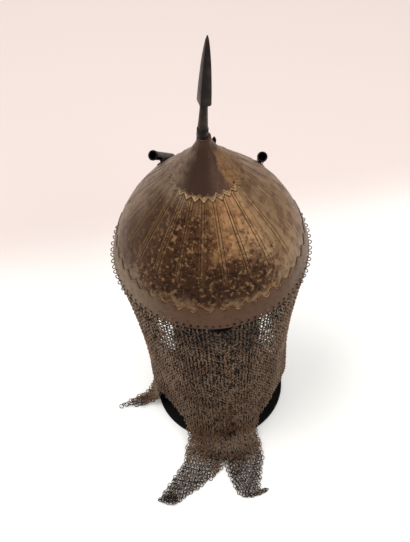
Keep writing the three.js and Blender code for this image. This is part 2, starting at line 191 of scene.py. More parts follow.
# Mail sizes: the fold at the root of the dags, and the dags on the floor
FOLD_RUN = 18.0
FOLD_LENGTH = 34.0
FOLD_CROWD = 1.25
FOLD_BACK = 4.5
FOLD_RISE = 4.5
FOLD_LEAN = 0.7
FOLD_AHEAD = 9.0
FOLD_SAMPLES = 101
FOLD_MASK = ((-28, 0.3), (-12, 0.6), (-3, 0.9), (4, 1.3), (10, 1.1), (27, 0.3))
TIP_FOLD = 73.0
TIP_RISE = 3.4
TIP_RUN = (-3.0, 2.0)
DAG_TURN = 25.0
DAG_ARC = 45.0
DAG_LEFT = -46.0
DAG_RIGHT = -6.0
DAG_CURL = 120.0
DAG_CURL_FROM = 38.0
DAG_CURL_TO = 60.0
DAG_STEPS = 12
DAG_RADIUS = 107.0
DAG_MIDDLES = (-13.5, 12.0)
DAG_GATHER = 0.2
DAG_GATHER_RUN = (FOLD_RUN - 3, FOLD_RUN + 15)

# Mail sizes: the rings in the sheet
MAIL_PIECES = 7
FIRST_ROW = 2.2
MAIL_DIP = 16.0
MAIL_DIP_AT = 2.0
MAIL_DIP_HALF = 34.0
MAIL_DIP_BEGIN = (30.0, 180.0)
MAIL_DIP_END = (HANG - 60, HANG - 5)
ROOT_SWELL = 0.17
ROOT_BEGIN = (HANG - 10, HANG + 10)
ROOT_END = (LAID, LAID + 18)
DAG_SHADE = 0.35
TONE_RANGE = 1.3
# How strongly painted shade darkens the inner side of the rings
MAIL_INNER_SHADE = 1.2
RING_ROLLS = (26.0, 46.0)
ROLL_LOOSER = 1.9
SCATTER_AXES = (1.4, 0.5, 0.3)
RIM_LINK_SCALE = 1.3
RIM_LINK_LOOSER = 2.0
RIM_LINKS_TORN = 0.6

# The hem at each azimuth: its height over the floor, or the length of mail past the bend on the floor.
HEM_HEIGHTS = (
    (-118, 70), (-104, 26), (-91, 14), (-68, 50), (-46, 42), (-35, 33), (36, 27), (53, 50), (72, 42),
    (92, 40), (104, 48), (118, 80),
)
HEM_LYING = (
    (-85, -10), (-80, 31), (-76, -13), (-28, -14), (-22, 44), (-18, 85), (-11, 85), (-6, 46), (-1, 1),
    (3, 24), (8, 54), (13, 68), (18, 60), (23, 10), (28, -18),
)
LONGEST = LAID + max(lying for _, lying in HEM_LYING) + FOLD_LENGTH

# Stand sizes
STAND_STEPS = 96
HEAD_RADIUS = 62.0
HEAD_ARC = range(-40, 90, 5)
HEAD_STEP = 0.05
HEAD_SEARCH = 100
STAND = (
    (0, 0), (76.2, 0), (77.2, 0.5), (77.5, 1.4), (77.5, 3.6), (77.2, 4.5), (76.2, 5),
    (58, 5.6), (53.5, 7.4), (51.4, 10), (50.9, 14), (50, 140), (52, 220),
)

# Stage, in metres and degrees
FLOOR_HALF = 6.0
FLOOR_Z = -0.0004
SURROUND = (1.0, 0.985, 0.97, 1)
LIGHT_TARGET = (0, 0, 0.25)
KEY_PLACE = (-0.7, -0.1, 2.0)
KEY_SIZE = 1.4
FILL_PLACE = (1.3, -1.0, 1.5)
FILL_SIZE = 2.2
CAMERA_PLACE = (-0.00805, -0.65031, 1.09528)
CAMERA_PITCH = 52.82
CAMERA_ROLL = 4.27
CAMERA_SENSOR = 24.0
CAMERA_CLIP = 0.05

# Shifts between the noises of a material
NOISE_STEP = 0.37
NOISE_SKEW = (1.0, 0.7, 1.3)


def srgb(red, green, blue):
    """A colour given in the usual 0 to 255 steps, as linear values."""
    levels = (level / 255 for level in (red, green, blue))
    return tuple(v / 12.92 if v <= 0.04045 else ((v + 0.055) / 1.055) ** 2.4 for v in levels)


def colour(name, description, red, green, blue):
    return bpy.props.FloatVectorProperty(
        name=name, description=description, default=srgb(red, green, blue), subtype="COLOR", min=0, max=1
    )


def length(name, description, millimetres):
    return bpy.props.FloatProperty(
        name=name, description=description, default=millimetres * MM, unit="LENGTH", min=0, precision=5
    )


class HelmetSettings(bpy.types.PropertyGroup):
    """Sizes and finishes of the helmet."""

    groove_depth: length("Groove depth", "How deep the paired lines of the bowl are cut", 0.3)
    fillet_relief: length("Fillet relief", "How far the strip between two lines stands up", 0.35)
    dent_depth: length("Dent depth", "How far the hammered wall wanders from its curve", 0.3)
    rim_holes: bpy.props.IntProperty(
        name="Rim holes", description="Holes along the lower edge of the band", default=88, min=8
    )
    # Golden brown also paints the highlight streak on the bowl.
    gold: colour("Golden brown", "Lit, worn brown of the bowl", 130, 94, 61)
    tan: colour("Tan", "Olive brown of the right side", 142, 114, 84)
    brown: colour("Brown", "Middle brown of the bowl", 110, 80, 54)
    plum: colour("Plum brown", "Smoother brown of the left side", 78, 56, 42)
    taupe: colour("Taupe", "Grey brown of the band and the low wall", 116, 97, 77)
    # Grey tan paints the sheen on the left of the bowl and the crown.
    pale: colour("Grey tan", "Paler brown of the upper left", 134, 114, 95)
    umber: colour("Umber", "Dark brown of the worn patch", 66, 39, 22)
    # Pit also paints part of a dark reflection low at the front of the bowl.
    pit: colour("Pit", "Blackened pits and grooves", 30, 15, 8)
    ochre: colour("Ochre", "Pale rust flecks", 150, 116, 80)
    # Worn edge also paints the highlights beside the grooves of the bowl.
    edge: colour("Worn edge", "Rubbed edges of band and crown", 170, 138, 98)
    crown: colour("Crown", "Dark stain of the cone", 60, 42, 33)
    dark: colour("Dark iron", "Spike, tubes and nose guard", 23, 17, 16)


class MailSettings(bpy.types.PropertyGroup):
    """Sizes and finish of the mail."""

    ring_radius: length("Ring radius", "From a ring's middle to the middle of its wire", 2.45)
    wire: length("Wire", "Diameter of the wire", 0.9)
    column_pitch: length("Column pitch", "Distance of rings along the rim", 4.3)
    row_pitch: length("Row pitch", "Distance of rows down the curtain", 3.25)
    bend_pitch: length("Bend pitch", "Distance of the crowded rows above the floor", 2.4)
    dag_pitch: length("Dag pitch", "Distance of rows on the floor", 3.25)
    dag_column_pitch: length("Dag column pitch", "Distance of rings across a dag", 3.5)
    ring_sides: bpy.props.IntProperty(name="Ring sides", description="Corners of a ring", default=10, min=6)
    wire_sides: bpy.props.IntProperty(name="Wire sides", description="Corners of the wire", default=5, min=3)
    loose: bpy.props.FloatProperty(
        name="Looseness", description="Random turn of the rings", default=math.radians(7), subtype="ANGLE"
    )
    scatter: length("Scatter", "Random shift of the rings", 0.28)
    iron: colour("Iron", "Light rings", 138, 112, 90)
    rust: colour("Rust", "Browner rings", 98, 67, 44)
    # Black also paints the shade on the rings' inner sides and under the rim.
    black: colour("Black", "Dark rings", 14, 9, 6)


class StageSettings(bpy.types.PropertyGroup):
    """Stand, floor, light and camera."""

    stand: colour("Stand", "Black finish of the stand", 5, 5, 5)
    dust: colour("Dust", "Greyer places of the stand", 17, 16, 16)
    floor: colour("Floor", "Floor near the object", 250, 249, 246)
    floor_far: colour("Far floor", "Floor behind the object", 218, 204, 198)
    glow: bpy.props.FloatProperty(name="Glow", description="Own light of the pale floor", default=0.1, min=0)
    key: bpy.props.FloatProperty(
        name="Key", description="Strength of the large light on the left", default=24.0, subtype="POWER"
    )
    fill: bpy.props.FloatProperty(
        name="Fill", description="Strength of the light on the right", default=22.0, subtype="POWER"
    )
    sky: bpy.props.FloatProperty(
        name="Surround", description="Strength of the white surround", default=0.66, min=0
    )
    lens: bpy.props.FloatProperty(
        name="Lens", description="Focal length of the camera", default=44.28, unit="CAMERA"
    )


# Curves and places
def through(rows, at):
    """A smooth curve through the rows of a table."""
    last = len(rows) - 1
    here = min(max(at, rows[0][0]), rows[last][0])
    i = 0
    while i < last - 1 and here > rows[i + 1][0]:
        i += 1

    def slope(k):
        before, after = rows[max(k - 1, 0)], rows[min(k + 1, last)]
        return (after[1] - before[1]) / (after[0] - before[0])

    span = rows[i + 1][0] - rows[i][0]
    rise = rows[i + 1][1] - rows[i][1]
    t = (here - rows[i][0]) / span
    entry = slope(i) * span - rise
    leave = rise - slope(i + 1) * span
    return rows[i][1] + rise * t + t * (1 - t) * (entry * (1 - t) + leave * t)


def bowl_radius(h):
    return through(BOWL_CURVE, h)


def smooth(value, low, high):
    t = min(max((value - low) / (high - low), 0), 1)
    return t * t * (3 - 2 * t)


def steps(low, high, count):
    return [low + (high - low) * i / count for i in range(count + 1)]


def polar(azimuth, radius, z):
    return Vector((radius * math.sin(azimuth), -radius * math.cos(azimuth), z))


def on_helmet(azimuth, radius, h):
    """A place on the oval helmet."""
    point = polar(azimuth, radius, RIM_Z + h)
    point.y *= OVAL
    return point


def azimuth_of(point):
    return math.atan2(point.x, -point.y)


def wave(turns):
    """A zigzag between -1 and 1 that starts at 1."""
    return abs((turns % 1) * 4 - 2) - 1


# Meshes
def turned(bm, profile, count, closed=False):
    """A profile of radius and height turned once about the Z axis, starting at the back."""
    verts = [bm.verts.new((0, -radius, z)) for radius, z in profile]
    pairs = list(zip(verts, verts[1:]))
    if closed:
        pairs.append((verts[-1], verts[0]))
    edges = [bm.edges.new(pair) for pair in pairs]
    bmesh.ops.spin(
        bm, geom=verts + edges, cent=(0, 0, 0), axis=(0, 0, 1), angle=2 * math.pi, steps=count, use_merge=True
    )
    bmesh.ops.remove_doubles(bm, verts=bm.verts, dist=1e-4)
    bmesh.ops.recalc_face_normals(bm, faces=bm.faces)


def rounded(bm, geom, offset, segments=2, affect="EDGES"):
    """Edges or corners given a round bevel."""
    bmesh.ops.bevel(
        bm, geom=geom, affect=affect, offset=offset, segments=segments, profile=0.5, material=-1,
        clamp_overlap=True,
    )


def laid(direction, start):
    """The transform that stands a shape from the XY plane along a direction at a point."""
    return Matrix.Translation(start) @ direction.to_track_quat("Z", "Y").to_matrix().to_4x4()


def dressed(mesh, name, material, node, body="helmet", sharp=40.0):
    """An object for a finished mesh, joined to the frame."""
    mesh.materials.append(material)
    mesh.shade_smooth()
    mesh.set_sharp_from_angle(angle=math.radians(sharp))
    piece = bpy.data.objects.new(name, mesh)
    bpy.context.scene.collection.objects.link(piece)
    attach(piece, body)
    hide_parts(node)
    return piece


def settled(bm, name, material, node, body="helmet", sharp=40.0):
    """A bmesh in millimetres made an object in metres."""
    bmesh.ops.scale(bm, vec=(MM, MM, MM), verts=bm.verts)
    mesh = bpy.data.meshes.new(name)
    bm.to_mesh(mesh)
    bm.free()
    return dressed(mesh, name, material, node, body, sharp)


# Shading
class Value:
    """A shader socket. Arithmetic on it adds Math nodes."""

    def __init__(self, graph, socket):
        self.graph = graph
        self.socket = socket

    def __add__(self, other):
        return self.graph.math("ADD", self, other)

    def __radd__(self, other):
        return self.graph.math("ADD", other, self)

    def __sub__(self, other):
        return self.graph.math("SUBTRACT", self, other)

    def __rsub__(self, other):
        return self.graph.math("SUBTRACT", other, self)

    def __mul__(self, other):
        return self.graph.math("MULTIPLY", self, other)

    def __rmul__(self, other):
        return self.graph.math("MULTIPLY", other, self)

    def __truediv__(self, other):
        return self.graph.math("DIVIDE", self, other)

    def __rtruediv__(self, other):
        return self.graph.math("DIVIDE", other, self)

    def __abs__(self):
        return self.graph.math("ABSOLUTE", self)


class Graph:
    """The nodes of one material."""

    def __init__(self, name):
        self.material = bpy.data.materials.new(name)
        self.material.use_nodes = True
        self.tree = self.material.node_tree
        self.shader = self.tree.nodes["Principled BSDF"]
        self.place = self.node("ShaderNodeTexCoord", output="Object")

    def feed(self, socket, value):
        if isinstance(value, Value):
            self.tree.links.new(value.socket, socket)
        elif socket.type == "RGBA" and len(value) == 3:
            socket.default_value = (*value, 1)
        else:
            socket.default_value = value

    def node(self, kind, settings=None, inputs=None, output=0):
        node = self.tree.nodes.new(kind)
        for key, value in (settings or {}).items():
            setattr(node, key, value)
        for key, value in (inputs or {}).items():
            self.feed(node.inputs[key], value)
        return Value(self, node.outputs[output])

    def math(self, operation, *values):
        return self.node("ShaderNodeMath", {"operation": operation}, dict(enumerate(values)))

    def mix(self, factor, first, second):
        """The first colour, going over to the second."""
        settings = {"data_type": "RGBA", "clamp_factor": True}
        return self.node("ShaderNodeMix", settings, {0: factor, 6: first, 7: second}, output=2)

    def smooth(self, value, low, high):
        """0 at the low value, 1 at the high one."""
        inputs = {"Value": value, "From Min": low, "From Max": high}
        return self.node("ShaderNodeMapRange", {"interpolation_type": "SMOOTHSTEP"}, inputs)

    def near(self, value, centre, inner, outer):
        """1 within the inner distance of a value, 0 beyond the outer one."""
        return self.smooth(abs(value - centre), outer, inner)

    def noise(self, size, detail=4.0, roughness=0.55, seed=0):
        """Soft noise between 0 and 1 with spots of about a size in millimetres."""
        offset = tuple(seed * NOISE_STEP * skew for skew in NOISE_SKEW)
        moved = self.node("ShaderNodeVectorMath", {"operation": "ADD"}, {0: self.place, 1: offset})
        inputs = {"Vector": moved, "Scale": 1 / (size * MM), "Detail": detail, "Roughness": roughness}
        return self.node("ShaderNodeTexNoise", {}, inputs)

    def axes(self):
        """X, Y and Z in millimetres."""
        split = self.tree.nodes.new("ShaderNodeSeparateXYZ")
        self.feed(split.inputs[0], self.place)
        return [Value(self, socket) * (1 / MM) for socket in split.outputs]

    def helmet(self):
        """Azimuth in degrees, height above the rim and radius."""
        x, y, z = self.axes()
        y = y * (1 / OVAL)
        azimuth = self.math("ARCTAN2", x, y * -1) * math.degrees(1)
        return azimuth, z - RIM_Z, self.math("SQRT", x * x + y * y)

    def spot(self, centre, radius):
        """1 in a round spot about a place in millimetres."""
        x, y, z = (axis - at for axis, at in zip(self.axes(), centre))
        return self.smooth(self.math("SQRT", x * x + y * y + z * z), radius * 1.25, radius * 0.75)

    def finish(self, base, roughness, metallic, relief=None, depth=0.0, specular=0.5):
        """The finished material, with a relief of a depth in millimetres."""
        self.shader.inputs["Specular IOR Level"].default_value = specular
        self.feed(self.shader.inputs["Base Color"], base)
        self.feed(self.shader.inputs["Roughness"], roughness)
        self.feed(self.shader.inputs["Metallic"], metallic)
        if relief is not None:
            inputs = {"Height": relief, "Distance": depth * MM, "Strength": 1.0}
            normal = self.node("ShaderNodeBump", {}, inputs)
            self.feed(self.shader.inputs["Normal"], normal)
        return self.material


def weathering(g, settings):
    """The browns that bowl and crown share, with a painted highlight, a painted sheen on the left and a
    painted dark reflection low at the front: base colour, how worn the place is, and its noises.
    """
    azimuth, h, _ = g.helmet()
    patch = g.noise(34, 4, 0.55, seed=1)
    drift = g.noise(24, 3, 0.5, seed=2)
    blot = g.noise(12, 4, 0.55, seed=5)
    fleck = g.noise(4.4, 4, 0.6, seed=4)
    mottle = g.noise(7, 4, 0.6, seed=6)
    grain = g.noise(4.2, 5, 0.62, seed=3)
    brushed = g.node("ShaderNodeCombineXYZ", {}, {"X": azimuth * 0.3, "Y": h * 0.035})
    brushed = g.node("ShaderNodeTexNoise", {}, {"Vector": brushed, "Scale": 1.0, "Detail": 3.0})
    around = azimuth + (patch - 0.5) * 50
    level = h + (drift - 0.5) * 42

    base = g.mix(g.smooth(around, 0, 50), settings.brown, settings.tan)
    # Painted highlight: a golden streak on the back right of the bowl, mottled by the flecks.
    painted_highlight = g.near(around, 18, 4, 50) * g.smooth(level, 46, 92)
    base = g.mix(painted_highlight * (0.45 + g.smooth(fleck, 0.36, 0.6) * 0.55), base, settings.gold)
    base = g.mix(g.smooth(around, -10, -46), base, settings.plum)
    # Painted sheen: the far left edge and the upper left are made paler grey tan.
    base = g.mix(g.smooth(around, -66, -104), base, settings.pale)
    base = g.mix(g.smooth(level, 88, 112) * g.smooth(around, -22, -52), base, settings.pale)
    base = g.mix(g.smooth(level, 46, 24) * 0.8, base, settings.taupe)
    base = g.mix(g.smooth(blot, 0.46, 0.62) * 0.5, base, settings.umber)
    base = g.mix(g.smooth(brushed, 0.44, 0.66) * 0.5, base, settings.umber)

    left = g.near(around, -24, 4, 48) * g.smooth(level, 126, 84)
    right = g.near(around, 8, 12, 66) * g.smooth(level, 104, 44)
    worn = g.math("MAXIMUM", left, right) * g.smooth(level, 18, 36)
    # Darker low front centre: pitting, and partly a painted dark reflection.
    deep = g.near(around, 0, 10, 46) * g.near(level, 44, 6, 28)
    eaten = g.smooth(mottle + (worn - 0.5) * 0.4, 0.46, 0.6)
    base = g.mix(eaten * (0.35 + worn * 0.5), base, settings.umber)
    base = g.mix(deep * 0.5, base, settings.pit)
    flecks = g.smooth(fleck, 0.52, 0.62)
    base = g.mix(flecks * (0.2 + worn * 0.45 - deep * 0.2), base, settings.ochre)
    pits = g.smooth(grain + worn * 0.1, 0.58, 0.68)
    base = g.mix(pits * (0.3 + worn * 0.5), base, settings.pit)
    return base, worn, pits, grain, fleck


def scalloped_edge(g, azimuth):
    """The height of the band's upper edge."""
    return BAND_ROWS[-1] + g.math("COSINE", azimuth * math.radians(SCALLOPS)) * SCALLOP_RISE


def bowl_finish(settings):
    g = Graph("bowl_finish")
    azimuth, h, radius = g.helmet()
    base, worn, pits, grain, fleck = weathering(g, settings)

    rust = g.smooth(h - scalloped_edge(g, azimuth), 7, 0.5) * g.smooth(fleck, 0.4, 0.56)
    rust = rust * g.near(azimuth, 12, 30, 70)
    base = g.mix(rust * 0.45, base, settings.gold)

    pitch = 360 / FILLETS
    across = abs(g.math("FRACT", azimuth / pitch + FILLETS) - 0.5) * math.radians(pitch) * radius
    half = FILLET_HALF_LOW + (h - FILLET_LOW) * FILLET_NARROWING
    shown = g.smooth(h, FILLET_LOW - 2, FILLET_LOW + 5) * (0.55 + g.smooth(grain, 0.35, 0.55) * 0.45)
    strip = g.smooth(across - half, 0, -0.8) * shown
    # Painted highlight: the edges beside the grooves are lightened, more on the left.
    lip = g.near(across, half + 1.0, 0.1, 0.7) * shown
    cut = g.near(across, half, 0.2, 0.75) * shown
    lip_highlight = 0.14 + g.smooth(azimuth, -20, -45) * 0.25
    base = g.mix((strip * 0.12 + lip * lip_highlight) * (1 - pits * 0.6), base, settings.edge)
    base = g.mix(cut * 0.75, base, settings.umber)

    rough = 0.4 + worn * 0.14 + pits * 0.2 + (grain - 0.5) * 0.35
    relief = fleck * 0.4 + grain * 0.4 - pits * 0.45
    return g.finish(base, rough, 0.72 - pits * 0.2, relief, 0.4, specular=0.2)


def band_finish(settings):
    g = Graph("band_finish")
    azimuth, h, _ = g.helmet()
    patch = g.noise(24, 4, 0.55, seed=11)
    grain = g.noise(5, 6, 0.65, seed=12)
    speck = g.noise(7, 3, 0.6, seed=13)
    dim = g.near(azimuth + (patch - 0.5) * 40, 8, 25, 75)
    base = g.mix(dim, settings.taupe, settings.plum)
    base = g.mix(g.smooth(azimuth, 30, 60) * 0.35, base, settings.plum)
    base = g.mix(g.smooth(patch, 0.48, 0.68) * 0.25, base, settings.brown)
    base = g.mix(g.smooth(grain, 0.52, 0.66) * 0.5, base, settings.umber)
    below = scalloped_edge(g, azimuth) - h
    front = 0.15 + g.near(azimuth, 8, 24, 52) * 0.85
    line = g.smooth(below, 0.95, 0.3) * g.smooth(speck, 0.46, 0.56)
    base = g.mix(line * front * 0.85, base, settings.edge)
    base = g.mix(g.near(below, 1.9, 0.2, 1.2) * 0.25, base, settings.umber)
    base = g.mix(g.smooth(h, 1.3, 0.2) * 0.5, base, settings.pit)
    rough = 0.46 + (grain - 0.5) * 0.35
    return g.finish(base, rough, 0.6, grain * 0.6 + speck * 0.25, 0.3, specular=0.2)


def crown_finish(settings):
    g = Graph("crown_finish")
    azimuth, h, _ = g.helmet()
    base, _, pits, grain, fleck = weathering(g, settings)
    patch = g.noise(14, 4, 0.55, seed=21)
    speck = g.noise(3.2, 3, 0.55, seed=22)
    turn = azimuth + (patch - 0.5) * 34
    # Painted sheen: the left of the crown is made paler grey tan.
    plain = g.mix(g.smooth(turn, -20, 24), settings.pale, settings.gold)
    base = g.mix(0.6, base, plain)
    base = g.mix(g.smooth(patch, 0.5, 0.66) * 0.5, base, settings.umber)
    base = g.mix(g.smooth(speck, 0.5, 0.62) * 0.4, base, settings.umber)
    stain = g.smooth(turn, -92, -32) * g.smooth(turn, 50, 36) * g.smooth(h, CAP_LOW - 2.5, CAP_LOW + 1.5)
    stain = g.math("MAXIMUM", stain, g.smooth(h + (patch - 0.5) * 14, 138, 150) * 0.8)
    base = g.mix(stain * (0.8 + grain * 0.4), base, settings.crown)
    front = g.near(azimuth, 4, 38, 66)
    collar = g.smooth(h, CAP_LOW + 1.2, CAP_LOW - 1.2)
    base = g.mix(collar * front * g.smooth(speck, 0.36, 0.6) * 0.8, base, settings.edge)
    tooth = g.math("PINGPONG", azimuth * (ZIGZAGS / 180), 1.0)
    edge = CAP_LOW + ZIGZAG_RISE * (1 - tooth * 2)
    rubbed = g.near(h, edge + 0.4, 0.2, 0.7) * g.smooth(speck, 0.42, 0.6)
    base = g.mix(rubbed * (0.15 + front * 0.45), base, settings.edge)
    base = g.mix(g.near(h, edge - 0.7, 0.2, 0.8) * (0.2 + front * 0.5), base, settings.pit)
    crack = g.near(h, edge + PLATE_LOW - CAP_LOW + 0.2, 0.3, 1.0)
    base = g.mix(crack * (0.35 + front * 0.6), base, settings.pit)
    for around, height, size in CROWN_PITS:
        place = on_helmet(math.radians(around), bowl_radius(height) + CROWN_PIT_OUT, height)
        base = g.mix(g.spot(place, size), base, settings.pit)
    rough = 0.38 + (grain - 0.5) * 0.35 + collar * 0.2 + (1 - stain) * 0.06
    metal = 0.65 - collar * 0.2
    return g.finish(base, rough, metal, grain * 0.6 + fleck * 0.3 - pits * 0.2, 0.3, specular=0.2)


def dark_finish(settings):
    g = Graph("dark_finish")
    patch = g.noise(14, 4, 0.55, seed=31)
    grain = g.noise(3.5, 5, 0.62, seed=32)
    base = g.mix(g.smooth(patch, 0.42, 0.66) * 0.6, settings.dark, settings.crown)
    base = g.mix(g.smooth(grain, 0.56, 0.7) * 0.6, base, settings.pit)
    rough = 0.38 + (grain - 0.5) * 0.35
    return g.finish(base, rough, 0.7, grain, 0.12, specular=0.25)


def ring_finish(settings):
    g = Graph("ring_finish")
    tone = g.node("ShaderNodeAttribute", {"attribute_name": "tone"}, output="Fac")
    azimuth, h, _ = g.helmet()
    patch = g.noise(30, 3, 0.5, seed=41)
    grain = g.noise(1.2, 3, 0.6, seed=43)
    base = g.mix(g.smooth(patch, 0.4, 0.66) * 0.7, settings.iron, settings.rust)
    # The tone attribute holds each ring's random tone and the painted shade of its inner side.
    base = g.mix(g.smooth(tone, 0.0, 0.7) * 0.95, base, settings.black)
    # Painted shade under the rim, at the back centre of the curtain's top.
    base = g.mix(g.smooth(h, -70, -10) * g.near(azimuth, 3, 18, 50) * 0.5, base, settings.black)
    base = g.mix(g.smooth(grain, 0.5, 0.66) * 0.6, base, settings.black)
    rough = 0.42 + (grain - 0.5) * 0.35
    return g.finish(base, rough, 0.75, grain, 0.06)


def stand_finish(settings):
    g = Graph("stand_finish")
    grain = g.noise(5, 4, 0.6, seed=51)
    dust = g.noise(30, 4, 0.6, seed=52)
    base = g.mix(g.smooth(dust, 0.45, 0.75) * 0.3, settings.stand, settings.dust)
    return g.finish(base, 0.6 + (grain - 0.5) * 0.2, 0.0, grain, 0.03, specular=0.06)


def pale_floor(settings):
    g = Graph("pale_floor")
    x, y, _ = g.axes()
    cloud = g.noise(900, 2, 0.5, seed=61)
    far = g.smooth(y - x * 0.12 + (cloud - 0.5) * 60, 135, 330)
    base = g.mix(far, settings.floor, settings.floor_far)
    g.feed(g.shader.inputs["Emission Color"], base)
    g.shader.inputs["Emission Strength"].default_value = settings.glow
    return g.finish(base, 0.75 + (cloud - 0.5) * 0.05, 0.0)


def shared(make, settings):
    """A material made once and used again."""
    return bpy.data.materials.get(make.__name__) or make(settings)


# Bowl
def fillet_places(half, pitch):
    """Where the columns stand across one fillet and the plain wall beside it."""
    inner = [FILLET_CROWN * half] + [half + step for step in GROOVE_STEPS]
    room = pitch / 2 - inner[-1]
    plain = [inner[-1] + room * (i + 1) / (PLAIN_COLUMNS + 1) for i in range(PLAIN_COLUMNS)]
    right = inner + plain
    return [-pitch / 2] + [-place for place in reversed(right)] + [0] + right


def bowl_wall(settings):
    """A turned wall whose columns are moved to the fillets and their grooves, and slightly dented."""
    groove = settings.groove_depth / MM
    relief = settings.fillet_relief / MM
    dent = settings.dent_depth / MM
    pitch = 2 * math.pi / FILLETS
    bm = bmesh.new()
    profile = [(bowl_radius(h), h) for h in steps(BOWL_FOOT, BOWL_TOP, BOWL_ROWS)]
    profile += [(bowl_radius(h) - BOWL_WALL, h) for h in steps(BOWL_TOP, BOWL_FOOT, BOWL_INNER_ROWS)]
    turned(bm, profile, FILLETS * FILLET_COLUMNS, closed=True)
    for vert in bm.verts:
        h = vert.co.z
        radius = math.hypot(vert.co.x, vert.co.y)
        column = round(azimuth_of(vert.co) / pitch * FILLET_COLUMNS)
        fillet = column // FILLET_COLUMNS
        rise = (min(max(h, FILLET_LOW), FILLET_HIGH) - FILLET_LOW) / (FILLET_HIGH - FILLET_LOW)
        half = FILLET_HALF_LOW + (FILLET_HALF_HIGH - FILLET_HALF_LOW) * rise
        across = fillet_places(half, pitch * radius)[column - fillet * FILLET_COLUMNS]
        azimuth = (fillet + 0.5) * pitch + across / radius
        if radius > bowl_radius(h) - BOWL_WALL / 2:
            shown = smooth(h, *FILLET_BEGIN) * (1 - smooth(h, *FILLET_END))
            off = abs(across)
            bulge = relief * max(1 - (off / half) ** 2, 0)
            cut = groove * math.exp(-(((off - half) / GROOVE_WIDTH) ** 2))
            place = on_helmet(azimuth, radius, h)
            uneven = noise.noise(place / DENT_WIDE) * dent
            uneven += noise.noise(place / DENT_SMALL) * dent * DENT_SMALL_SHARE
            free = smooth(h, *DENTS_BEGIN) * (1 - smooth(h, *DENTS_END))
            radius += (bulge - cut) * shown + uneven * free
        vert.co = on_helmet(azimuth, radius, h)
    return settled(bm, "bowl_wall", shared(bowl_finish, settings), "bowl", sharp=60)


# Rim band
def rim_strip(settings):
    """A flat strip with square holes, thickened and wrapped round the bowl. Its surface is then smoothed."""
    columns = settings.rim_holes * BAND_HOLE_COLUMNS
    rows = len(BAND_ROWS) - 1
    bm = bmesh.new()
    bmesh.ops.create_grid(bm, x_segments=columns, y_segments=rows, size=1)
    for vert in bm.verts:
        column = round((vert.co.x + 1) / 2 * columns)
        row = round((vert.co.y + 1) / 2 * rows)
        vert.co = Vector((column, BAND_ROWS[row], 0))
    low, high = BAND_ROWS[BAND_HOLE_ROW : BAND_HOLE_ROW + 2]

    def is_hole(face):
        centre = face.calc_center_median()
        return low < centre.y < high and int(centre.x) % BAND_HOLE_COLUMNS == BAND_HOLE_COLUMN

    bmesh.ops.delete(bm, geom=[face for face in bm.faces if is_hole(face)], context="FACES_ONLY")
    bmesh.ops.recalc_face_normals(bm, faces=bm.faces)
    bmesh.ops.solidify(bm, geom=bm.faces, thickness=BAND_THICK)
    outer = max(vert.co.z for vert in bm.verts)
    for vert in bm.verts:
        azimuth = vert.co.x / columns * 2 * math.pi
        h = vert.co.y
        share = max(h - SCALLOP_FROM, 0) / (BAND_ROWS[-1] - SCALLOP_FROM)
        h += SCALLOP_RISE * math.cos(azimuth * SCALLOPS) * share
        thin = 1 - BAND_TAPER * smooth(vert.co.y, BAND_ROWS[-3], BAND_ROWS[-1])
        radius = bowl_radius(h) + GAP + (BAND_THICK + vert.co.z - outer) * thin
        vert.co = on_helmet(azimuth, radius, h)
    bmesh.ops.remove_doubles(bm, verts=bm.verts, dist=1e-3)
    bmesh.ops.recalc_face_normals(bm, faces=bm.faces)
    piece = settled(bm, "rim_strip", shared(band_finish, settings), "rim_band", sharp=180)
    smoother = piece.modifiers.new("round_holes", "SUBSURF")
    smoother.levels = smoother.render_levels = 1
    return piece


# Crown
def crown_shell(settings, name, node, outer, inner, low):
    """A turned shell whose lower edge is cut in a zigzag."""
    bm = bmesh.new()
    turned(bm, outer + inner, ZIGZAGS * ZIGZAG_COLUMNS, closed=True)
    for vert in bm.verts:
        h = vert.co.z
        azimuth = azimuth_of(vert.co)
        radius = math.hypot(vert.co.x, vert.co.y)
        cut = 1 - smooth(h, low, low + ZIGZAG_FADE)
        lower = h + ZIGZAG_RISE * wave(azimuth / (2 * math.pi) * ZIGZAGS) * cut
        if radius > ON_AXIS:
            radius += bowl_radius(lower) - bowl_radius(h)
        vert.co = on_helmet(azimuth, radius, lower)
    return settled(bm, name, shared(crown_finish, settings), node, sharp=50)


def crown_collar(settings):
    outer = [(bowl_radius(h) + GAP + PLATE_THICK, h) for h in PLATE_ROWS]
    inner = [(bowl_radius(h) + GAP, h) for h in reversed(PLATE_ROWS)]
    return crown_shell(settings, "crown_collar", "crown_plate", outer, inner, PLATE_LOW)


def crown_cone(settings):
    seat = 2 * GAP + PLATE_THICK
    heights = [*CAP_ROWS, *steps(CAP_CONE_LOW, CAP_TOP - CAP_EDGE, CAP_CONE_ROWS)]
    outer = [(bowl_radius(h) + seat + CAP_THICK, h) for h in heights]
    outer += [(outer[-1][0] - CAP_EDGE, CAP_TOP), (0, CAP_TOP), (0, CAP_HOLLOW[0])]
    inner = [(bowl_radius(h) + seat, h) for h in CAP_HOLLOW]
    return crown_shell(settings, "crown_cone", "crown_cap", outer, inner, CAP_LOW)


